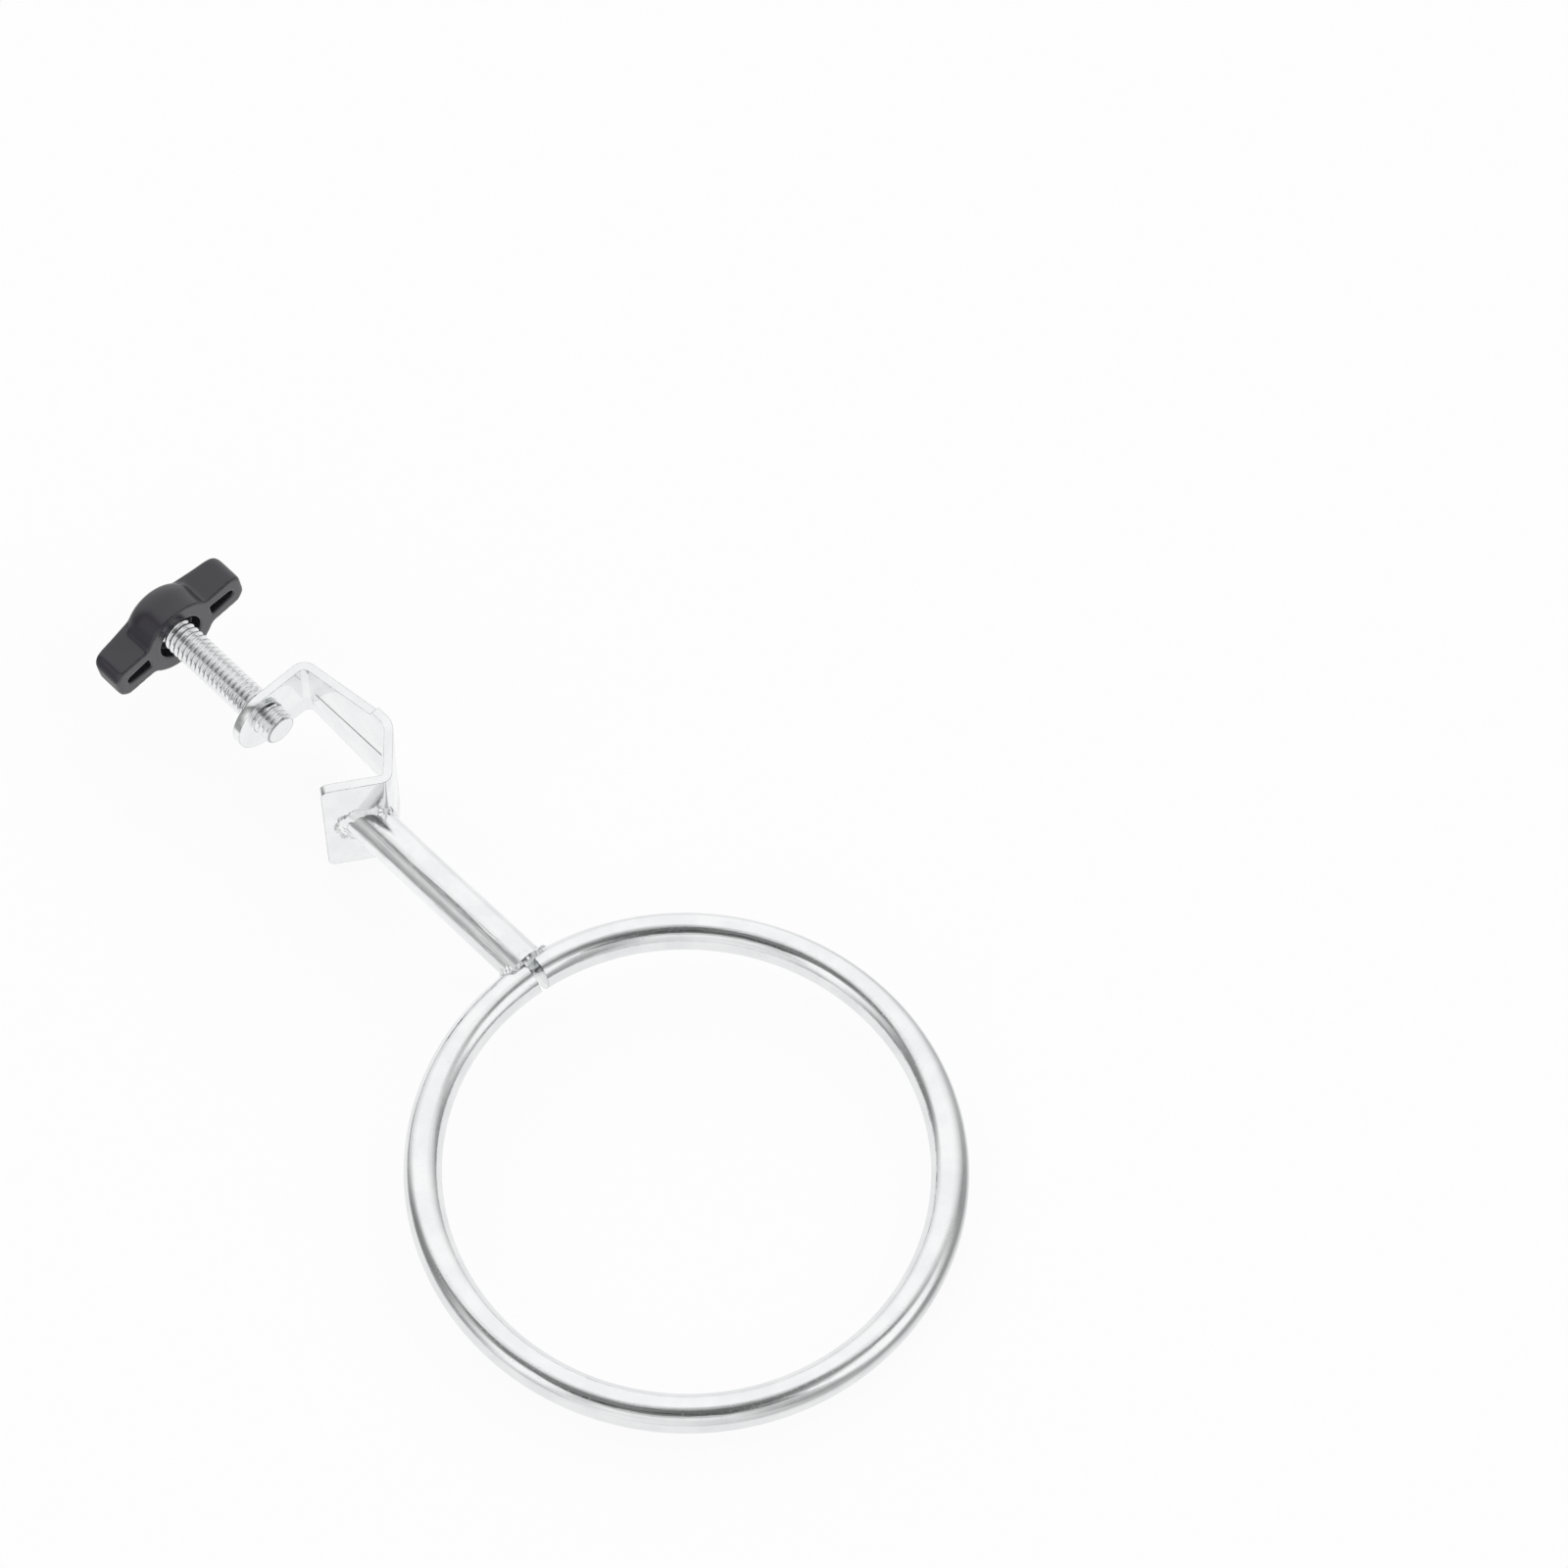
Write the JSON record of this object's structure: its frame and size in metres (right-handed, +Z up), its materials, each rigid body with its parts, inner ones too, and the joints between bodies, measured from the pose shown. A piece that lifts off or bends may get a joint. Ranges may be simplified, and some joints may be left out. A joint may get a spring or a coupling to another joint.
{
  "type": "support ring clamp",
  "caption": "Open ring of round bar on a straight arm, welded to a folded V-jaw bracket with a wing screw that clamps an upright laboratory stand rod.",
  "frame": {"origin": "centre of the ring, in the middle plane of its bar", "axes": "+Z up, square to the ring's plane; the arm and the clamp screw lie along X, with the clamp on the -X side; the bracket's web is on the +Y side"},
  "size_m": [0.2393, 0.1174, 0.0318],
  "materials": {
    "plated_bar": "bright zinc plating on round steel bar",
    "plated_strip": "bright zinc plating on steel strip",
    "weld_metal": "plated over a rippled weld bead",
    "plated_screw": "bright zinc plating",
    "knob_plastic": "smooth black moulded plastic"
  },
  "bodies": {
    "frame": {"support_ring": "plated_bar", "ring_arm": "plated_bar", "clamp_bracket": "plated_strip", "ring_weld": "weld_metal", "jaw_weld": "weld_metal"},
    "screw": {"clamp_screw": "plated_screw"},
    "knob": {"wing_knob": "knob_plastic"}
  },
  "joints": [
    {"name": "screw_feed", "type": "slide", "parent": "frame", "child": "screw", "axis": [1, 0, 0], "range_m": [-0.004, 0.0268]},
    {"name": "knob_turn", "type": "hinge", "parent": "screw", "child": "knob", "pos_m": [-0.16995, 0.0091, 0], "axis": [1, 0, 0], "range_deg": [-1021, 6838]}
  ],
  "couplings": [
    {"joint": "knob_turn", "follows": "screw_feed", "rad_per_m": 4452.6}
  ]
}
